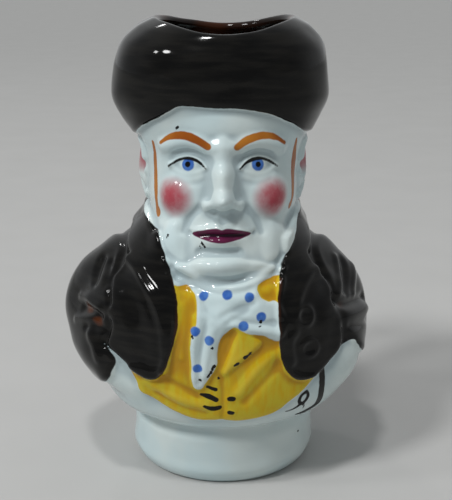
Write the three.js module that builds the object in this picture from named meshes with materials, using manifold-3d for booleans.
// A toby jug: a hollow, slip-cast earthenware bust of a portly man in a cocked hat.
// The hat's open top is the mouth, and a loop handle is joined on behind.
// Millimetres, +Z up. The man faces -Y, and the origin is the middle of the flat underside.
import * as THREE from "three";
import Module from "manifold-3d";

// Driving dimensions
const HEIGHT = 140; // underside to the hat's two side peaks
const HAT_LEVEL = 106; // the lowest level of the hat, at its sides and back
const HAT_EDGE_RISE = 11.8; // how much higher the hat's lower edge is over the forehead
const HAT_STEP = 1.3; // how far the hat stands out from the head at that edge
const RIM_DIP = 4.2; // how far the rim dips at the front and the back
const WALL = 4; // wall of the casting
const LIP = 3.4; // thickness of the rim
const FLOOR = 6; // thickness of the floor
const JAW_LOW = 67; // underside of the chin
const JAW_RISE = 19; // how much higher the jaw is below the ears
const JAW_CREASE = 1.8; // depth of the crease between jaw and neckcloth
const JAW_CREASE_HALF = 3; // half width of that crease

// Sections of the casting: level, half width, depth to the front, depth to the back, squareness
// (2 is an ellipse) and a slight lean to the side. Levels above HAT_LEVEL are squeezed down where
// the rim dips.
const SECTIONS = [
  [0.0, 26.2, 26.2, 26.2, 2.0, 0], // edge of the underside
  [1.4, 27.6, 27.6, 27.6, 2.0, 0],
  [4.0, 28.7, 28.7, 28.7, 2.0, 0],
  [8.0, 29.2, 29.2, 29.2, 2.0, 0], // swell of the foot
  [14.0, 28.6, 28.6, 28.6, 2.0, 0],
  [18.6, 27.6, 27.6, 27.6, 2.0, 0], // groove above the foot
  [21.0, 32.6, 31.4, 31.0, 2.1, 0],
  [24.0, 36.2, 33.8, 33.4, 2.2, 0.4],
  [28.0, 39.4, 35.4, 35.2, 2.2, 0.8],
  [34.0, 42.2, 36.5, 36.6, 2.2, 0.1],
  [42.0, 43.6, 37.0, 37.4, 2.2, -1.2], // belly
  [50.0, 43.2, 37.0, 37.4, 2.2, -1.8],
  [60.0, 39.6, 35.6, 36.0, 2.2, -1.8], // chest
  [68.0, 33.2, 32.8, 31.6, 2.2, -1.5], // shoulders
  [76.0, 26.4, 30.6, 26.4, 2.2, -1],
  [83.0, 22.6, 29.4, 23.0, 2.2, -0.2], // collar and jaw
  [89.0, 23.2, 28.6, 22.4, 2.3, 0],
  [95.0, 23.2, 28.0, 23.2, 2.3, 0], // cheeks
  [101.0, 23.8, 27.5, 24.4, 2.3, 0],
  [106.0, 25.6, 27.2, 25.6, 2.3, -0.2], // temples, and the hat's sides
  [112.0, 28.4, 27.2, 27.0, 2.3, -0.4],
  [118.0, 30.6, 27.4, 28.0, 2.3, -0.6],
  [125.0, 30.6, 27.4, 28.0, 2.3, -0.7], // fullest part of the hat
  [132.0, 29.1, 26.8, 27.0, 2.3, -0.3],
  [137.0, 25.8, 25.6, 25.2, 2.2, 0.1],
  [140.0, 20.4, 24.2, 24.0, 2.1, 0.4], // rim
];

// Raised panels: an outline of [angle in degrees, level] points, how far it stands out, and the
// width of its sloping edge. Angle 0 is the front, and positive angles are at +X.
const PANELS = [
  {
    name: "left lapel",
    outline: [
      [-66, 84], [-45, 77], [-29, 71], [-21.5, 65], [-20, 55], [-23, 44], [-31.5, 37.6],
      [-43, 42], [-51, 46], [-51, 58], [-61, 68.5], [-80, 75], [-92, 84],
    ],
    lift: 2,
    edge: 3,
  },
  {
    name: "right lapel",
    outline: [
      [66, 84], [45, 75], [31, 70], [26.5, 60], [25, 48], [30, 40], [37, 36.8],
      [48, 41], [55, 48], [52.5, 60], [58, 70], [78, 76], [92, 84],
    ],
    lift: 2,
    edge: 3,
  },
  {
    name: "neckcloth tail",
    outline: [[-12, 62], [-14, 50], [-14.5, 38], [-10, 34.4], [-6, 37], [-2, 47], [4, 55], [2, 62]],
    lift: 1.3,
    edge: 2.6,
  },
  {
    name: "neckcloth wing",
    outline: [[-3, 61], [6, 54.5], [15, 52], [28, 50.5], [28, 62], [14, 62.5]],
    lift: 1.1,
    edge: 2.6,
  },
  {
    name: "left collar point",
    outline: [[-42, 80], [-34, 85], [-26, 80], [-22.5, 73.5], [-27, 70.5], [-38, 74]],
    lift: 1.6,
    edge: 3,
  },
  {
    name: "right collar point",
    outline: [[42, 80], [34, 85], [26, 80], [22.5, 73.5], [27, 70.5], [38, 74]],
    lift: 1.6,
    edge: 3,
  },
];

// Rounded ridges along a line of [angle, level] points: half width and how far they stand out.
const RIDGES = [
  {
    name: "left sleeve",
    line: [[-86, 66], [-92, 56], [-88, 48], [-74, 42], [-58, 39]],
    half: 13,
    lift: 3.2,
  },
  {
    name: "right sleeve",
    line: [[86, 66], [92, 56], [90, 49], [80, 46], [66, 44]],
    half: 13,
    lift: 3.2,
  },
  {
    name: "left lapel roll",
    line: [[-62, 72], [-44, 68.5], [-32, 60.5], [-26, 51], [-25, 44]],
    half: 5,
    lift: 1.1,
  },
  {
    name: "right lapel roll",
    line: [[58, 72], [45, 66], [36, 60.5], [32.5, 51], [33, 42]],
    half: 5,
    lift: 1.1,
  },
  { name: "waistcoat fold", line: [[6, 53], [2, 45], [-1, 36]], half: 5, lift: 1 },
  { name: "nose bridge", line: [[0, 103], [0, 96], [0, 90]], half: 6, lift: 3.4 },
  { name: "brow", line: [[-30, 104], [-12, 106], [0, 105], [12, 106], [30, 104]], half: 5, lift: 0.8 },
];

// Rounded bosses: angle, level, half width and half height on the surface, and how far they stand out.
const BOSSES = [
  { name: "nose tip", angle: 0, level: 89.5, halfWidth: 5.6, halfHeight: 5, lift: 3.4 },
  { name: "chin", angle: 0, level: 72, halfWidth: 10, halfHeight: 6, lift: 2.2 },
  { name: "lips", angle: 0, level: 80.5, halfWidth: 9.5, halfHeight: 3.6, lift: 1.2 },
  { name: "left cheek", angle: -32, level: 90, halfWidth: 10, halfHeight: 9, lift: 1.2 },
  { name: "right cheek", angle: 32, level: 90, halfWidth: 10, halfHeight: 9, lift: 1.2 },
  { name: "left eye socket", angle: -22, level: 100.5, halfWidth: 6.5, halfHeight: 4.5, lift: -1.2 },
  { name: "right eye socket", angle: 22, level: 100.5, halfWidth: 6.5, halfHeight: 4.5, lift: -1.2 },
  { name: "left elbow", angle: -92, level: 53, halfWidth: 18, halfHeight: 15, lift: 2.4 },
  { name: "right elbow", angle: 92, level: 53, halfWidth: 18, halfHeight: 15, lift: 1.2 },
  { name: "left ear", angle: -80, level: 96, halfWidth: 5, halfHeight: 9.5, lift: 3 },
  { name: "right ear", angle: 80, level: 96, halfWidth: 5, halfHeight: 9.5, lift: 3 },
  { name: "left hand", angle: -47, level: 34, halfWidth: 10, halfHeight: 9, lift: 1.4 },
  { name: "right hand", angle: 62, level: 37, halfWidth: 12, halfHeight: 10, lift: 2.2 },
  { name: "upper coat button", angle: 38, level: 56, halfWidth: 3.6, halfHeight: 3.6, lift: 0.8 },
  { name: "lower coat button", angle: 39, level: 46, halfWidth: 3.6, halfHeight: 3.6, lift: 0.8 },
];

// The handle: points of its middle line in the YZ plane, and its oval section.
const HANDLE_LINE = [[21, 111], [36, 114], [50, 108], [56, 92], [53, 73], [44, 57], [31, 47]];
const HANDLE_HALF_WIDTH = 5;
const HANDLE_HALF_DEPTH = 3.6;

// Fineness of the faceted solid
const FRONT_REACH = 78; // degrees to each side of the front that have the finer columns
const FRONT_COLUMNS = 52;
const BACK_COLUMNS = 16;
const ROW_BANDS = [
  [4, 18.6, 4],
  [18.6, 34, 6],
  [34, 118, 37],
  [118, 140, 7],
]; // from level, to level, rows
const CAVITY_COLUMNS = 28;
const CAVITY_ROWS = 16;
const HANDLE_STEPS = 20;
const HANDLE_SIDES = 10;
const CURVE_STEPS = 4; // straight pieces to each span of a panel's outline or a ridge's line

const radians = THREE.MathUtils.degToRad;
const SECTION_LEVELS = SECTIONS.map((row) => row[0]);

// A smooth step from 0 at low to 1 at high.
const ramp = (x, low, high) => THREE.MathUtils.smoothstep(x, low, high);

// A monotone cubic through the sections' values in one column, so that nothing overshoots.
function sectionCurve(column) {
  const x = SECTION_LEVELS;
  const y = SECTIONS.map((row) => row[column]);
  const slope = (i) => (y[i + 1] - y[i]) / (x[i + 1] - x[i]);
  const tangents = y.map((_, i) => {
    if (i === 0 || i === y.length - 1) return slope(Math.min(i, y.length - 2));
    const before = slope(i - 1);
    const after = slope(i);
    return before * after <= 0 ? 0 : (2 * before * after) / (before + after);
  });
  return (level) => {
    const found = x.findIndex((edge) => edge > level) - 1;
    const i = found < 0 ? (level <= x[0] ? 0 : x.length - 2) : found;
    const step = x[i + 1] - x[i];
    const t = THREE.MathUtils.clamp((level - x[i]) / step, 0, 1);
    const rise = (1 + 2 * t) * (1 - t) ** 2 * y[i] + t * t * (3 - 2 * t) * y[i + 1];
    return rise + step * t * (1 - t) * ((1 - t) * tangents[i] - t * tangents[i + 1]);
  };
}
const halfWidthAt = sectionCurve(1);
const frontDepthAt = sectionCurve(2);
const backDepthAt = sectionCurve(3);
const squarenessAt = sectionCurve(4);
const leanAt = sectionCurve(5);

// Height of a level: above HAT_LEVEL it is squeezed down where the rim dips.
function heightAt(angle, level) {
  const squeeze = Math.max(0, level - HAT_LEVEL) / (HEIGHT - HAT_LEVEL);
  return level - RIM_DIP * Math.cos(angle) ** 4 * squeeze;
}

// The smooth casting, with no carving on it.
function plainPoint(angle, level) {
  const side = Math.sin(angle);
  const ahead = Math.cos(angle);
  const share = ramp(ahead, -0.6, 0.6);
  const depth = THREE.MathUtils.lerp(backDepthAt(level), frontDepthAt(level), share);
  const power = squarenessAt(level);
  const reach =
    (Math.abs(side / halfWidthAt(level)) ** power + Math.abs(ahead / depth) ** power) ** (-1 / power);
  return new THREE.Vector3(reach * side + leanAt(level), -reach * ahead, heightAt(angle, level));
}

function plainNormal(angle, level) {
  const turn = 0.01;
  const climb = 0.2;
  const low = Math.max(0, level - climb);
  const high = Math.min(HEIGHT, level + climb);
  const around = plainPoint(angle + turn, level).sub(plainPoint(angle - turn, level));
  const upward = plainPoint(angle, high).sub(plainPoint(angle, low));
  return around.cross(upward).normalize();
}

// A smooth line or outline through [degrees, level] points, as points on the plain casting.
function tracedOnCasting(points, closed) {
  const flat = points.map(([degrees, level]) => new THREE.Vector3(degrees, level, 0));
  const curve = new THREE.CatmullRomCurve3(flat, closed, "centripetal");
  const spans = closed ? points.length : points.length - 1;
  const traced = curve.getPoints(spans * CURVE_STEPS);
  return {
    flat: traced,
    solid: traced.map((p) => plainPoint(radians(p.x), p.y)),
  };
}

function distanceToLine(point, line) {
  const nearest = new THREE.Vector3();
  const span = new THREE.Line3();
  let best = Infinity;
  for (let i = 0; i + 1 < line.length; i++) {
    span.set(line[i], line[i + 1]).closestPointToPoint(point, true, nearest);
    best = Math.min(best, nearest.distanceTo(point));
  }
  return best;
}

function isInside(x, y, ring) {
  let inside = false;
  for (let i = 0, j = ring.length - 1; i < ring.length; j = i++) {
    const a = ring[i];
    const b = ring[j];
    if (a.y > y !== b.y > y && x < ((b.x - a.x) * (y - a.y)) / (b.y - a.y) + a.x) inside = !inside;
  }
  return inside;
}

const panels = PANELS.map((panel) => ({ ...panel, traced: tracedOnCasting(panel.outline, true) }));
const ridges = RIDGES.map((ridge) => ({ ...ridge, traced: tracedOnCasting(ridge.line, false) }));

function panelLift(panel, degrees, level, point) {
  const gap = distanceToLine(point, panel.traced.solid);
  const depth = isInside(degrees, level, panel.traced.flat) ? gap : -gap;
  return panel.lift * ramp(depth, -panel.edge / 2, panel.edge / 2);
}

function ridgeLift(ridge, point) {
  const away = distanceToLine(point, ridge.traced.solid) / ridge.half;
  return away < 1 ? ridge.lift * (1 - away * away) ** 2 : 0;
}

function bossLift(boss, angle, level, point) {
  const radius = Math.hypot(point.x, point.y);
  const across = ((angle - radians(boss.angle)) * radius) / boss.halfWidth;
  const along = (level - boss.level) / boss.halfHeight;
  const away = across * across + along * along;
  return away < 1 ? boss.lift * (1 - away) ** 2 : 0;
}

// The hat stands out from the head above an edge that is highest over the forehead.
function hatLift(angle, level) {
  const front = Math.max(0, Math.cos(angle)) ** 2;
  const edge = HAT_LEVEL + HAT_EDGE_RISE * front;
  const fade = 1 - ramp(level, HEIGHT - 8, HEIGHT);
  return HAT_STEP * ramp(level, edge - 0.8, edge + 0.8) * fade;
}

// The crease below the jaw, from under the chin to below the ears.
function jawLift(angle, level) {
  const front = Math.max(0, Math.cos(angle));
  const jaw = JAW_LOW + JAW_RISE * (1 - front);
  const off = (level - jaw) / JAW_CREASE_HALF;
  return -JAW_CREASE * Math.exp(-off * off) * ramp(front, 0.1, 0.5);
}

function carvedPoint(angle, level) {
  const point = plainPoint(angle, level);
  const degrees = THREE.MathUtils.radToDeg(angle);
  let lift = hatLift(angle, level) + jawLift(angle, level);
  for (const panel of panels) lift += panelLift(panel, degrees, level, point);
  for (const ridge of ridges) lift += ridgeLift(ridge, point);
  for (const boss of BOSSES) lift += bossLift(boss, angle, level, point);
  if (level <= SECTION_LEVELS[1] || lift === 0) return point;
  return point.addScaledVector(plainNormal(angle, level), lift);
}

// Angles of the columns, once round: some over the front, between plus and minus reach, and some behind.
function columnAngles(reach, front, back) {
  const angles = [];
  for (let i = 0; i < front; i++) angles.push(-reach + (2 * reach * i) / front);
  for (let i = 0; i < back; i++) angles.push(reach + (2 * (Math.PI - reach) * i) / back);
  return angles.map((angle) => (angle > Math.PI ? angle - 2 * Math.PI : angle));
}

// A closed solid from rings of points, bottom to top, with a middle point under and over them.
function ringSolid(wasm, rings, bottom, top) {
  const count = rings[0].length;
  const corners = [bottom, ...rings.flat(), top];
  const at = (row, column) => 1 + row * count + (column % count);
  const last = corners.length - 1;
  const triangles = [];
  for (let c = 0; c < count; c++) {
    triangles.push(0, at(0, c + 1), at(0, c));
    for (let r = 0; r + 1 < rings.length; r++) {
      triangles.push(at(r, c), at(r, c + 1), at(r + 1, c + 1));
      triangles.push(at(r, c), at(r + 1, c + 1), at(r + 1, c));
    }
    triangles.push(last, at(rings.length - 1, c), at(rings.length - 1, c + 1));
  }
  const vertProperties = new Float32Array(corners.flatMap((p) => [p.x, p.y, p.z]));
  const triVerts = new Uint32Array(triangles);
  return new wasm.Manifold(new wasm.Mesh({ numProp: 3, vertProperties, triVerts }));
}

// The outside, filled in.
function outerSolid(wasm) {
  const angles = columnAngles(radians(FRONT_REACH), FRONT_COLUMNS, BACK_COLUMNS);
  const levels = [0, SECTION_LEVELS[1]];
  for (const [low, high, rows] of ROW_BANDS) {
    for (let i = 0; i < rows; i++) levels.push(THREE.MathUtils.lerp(low, high, i / rows));
  }
  levels.push(HEIGHT);
  const rings = levels.map((level) => angles.map((angle) => carvedPoint(angle, level)));
  const bottom = new THREE.Vector3(0, 0, 0);
  const top = new THREE.Vector3(0, 0, HEIGHT - RIM_DIP);
  return ringSolid(wasm, rings, bottom, top);
}

// The hollow: the plain casting taken in by the wall, with a narrower lip that runs out of the top.
function cavitySolid(wasm) {
  const angles = columnAngles(Math.PI / 2, CAVITY_COLUMNS / 2, CAVITY_COLUMNS / 2);
  const lowest = FLOOR + 1;
  const highest = HEIGHT - 6;
  const inward = (angle, level) => plainPoint(angle, level).addScaledVector(plainNormal(angle, level), -WALL);
  const rings = Array.from({ length: CAVITY_ROWS }, (_, i) => {
    const level = THREE.MathUtils.lerp(lowest, highest, i / (CAVITY_ROWS - 1));
    return angles.map((angle) => inward(angle, level));
  });
  const mouth = angles.map((angle) => {
    const rim = plainPoint(angle, HEIGHT);
    const reach = 1 - LIP / Math.hypot(rim.x, rim.y);
    return new THREE.Vector3(rim.x * reach, rim.y * reach, rim.z);
  });
  const floorRing = rings[0].map((p) => new THREE.Vector3(p.x * 0.9, p.y * 0.9, FLOOR));
  const above = mouth.map((p) => new THREE.Vector3(p.x, p.y, HEIGHT + 10));
  const bottom = new THREE.Vector3(0, 0, FLOOR);
  const top = new THREE.Vector3(0, 0, HEIGHT + 10);
  return ringSolid(wasm, [floorRing, ...rings, mouth, above], bottom, top);
}

// The handle: an oval section carried along a smooth line, its ends sunk into the wall.
function handleSolid(wasm) {
  const line = new THREE.CatmullRomCurve3(HANDLE_LINE.map(([y, z]) => new THREE.Vector3(0, y, z)));
  const rings = Array.from({ length: HANDLE_STEPS + 1 }, (_, i) => {
    const along = line.getPointAt(i / HANDLE_STEPS);
    const forward = line.getTangentAt(i / HANDLE_STEPS);
    const across = new THREE.Vector3(1, 0, 0);
    const outward = new THREE.Vector3().crossVectors(forward, across);
    return Array.from({ length: HANDLE_SIDES }, (_, k) => {
      const turn = (2 * Math.PI * k) / HANDLE_SIDES;
      return along
        .clone()
        .addScaledVector(across, HANDLE_HALF_WIDTH * Math.cos(turn))
        .addScaledVector(outward, HANDLE_HALF_DEPTH * Math.sin(turn));
    });
  });
  return ringSolid(wasm, rings, line.getPointAt(0), line.getPointAt(1));
}

function geometryOf(solid) {
  const mesh = solid.getMesh();
  const geometry = new THREE.BufferGeometry();
  geometry.setAttribute("position", new THREE.BufferAttribute(mesh.vertProperties, 3));
  geometry.setIndex(new THREE.BufferAttribute(mesh.triVerts, 1));
  geometry.computeVertexNormals();
  return geometry;
}

const wasm = await Module();
wasm.setup();

const casting = outerSolid(wasm).add(handleSolid(wasm)).subtract(cavitySolid(wasm));
const glaze = new THREE.MeshStandardMaterial({ color: 0xdfe6e2, roughness: 0.12, metalness: 0 });
const jug = new THREE.Mesh(geometryOf(casting), glaze);
jug.name = "toby_jug";

const part = new THREE.Group();
part.add(jug);

export default part;
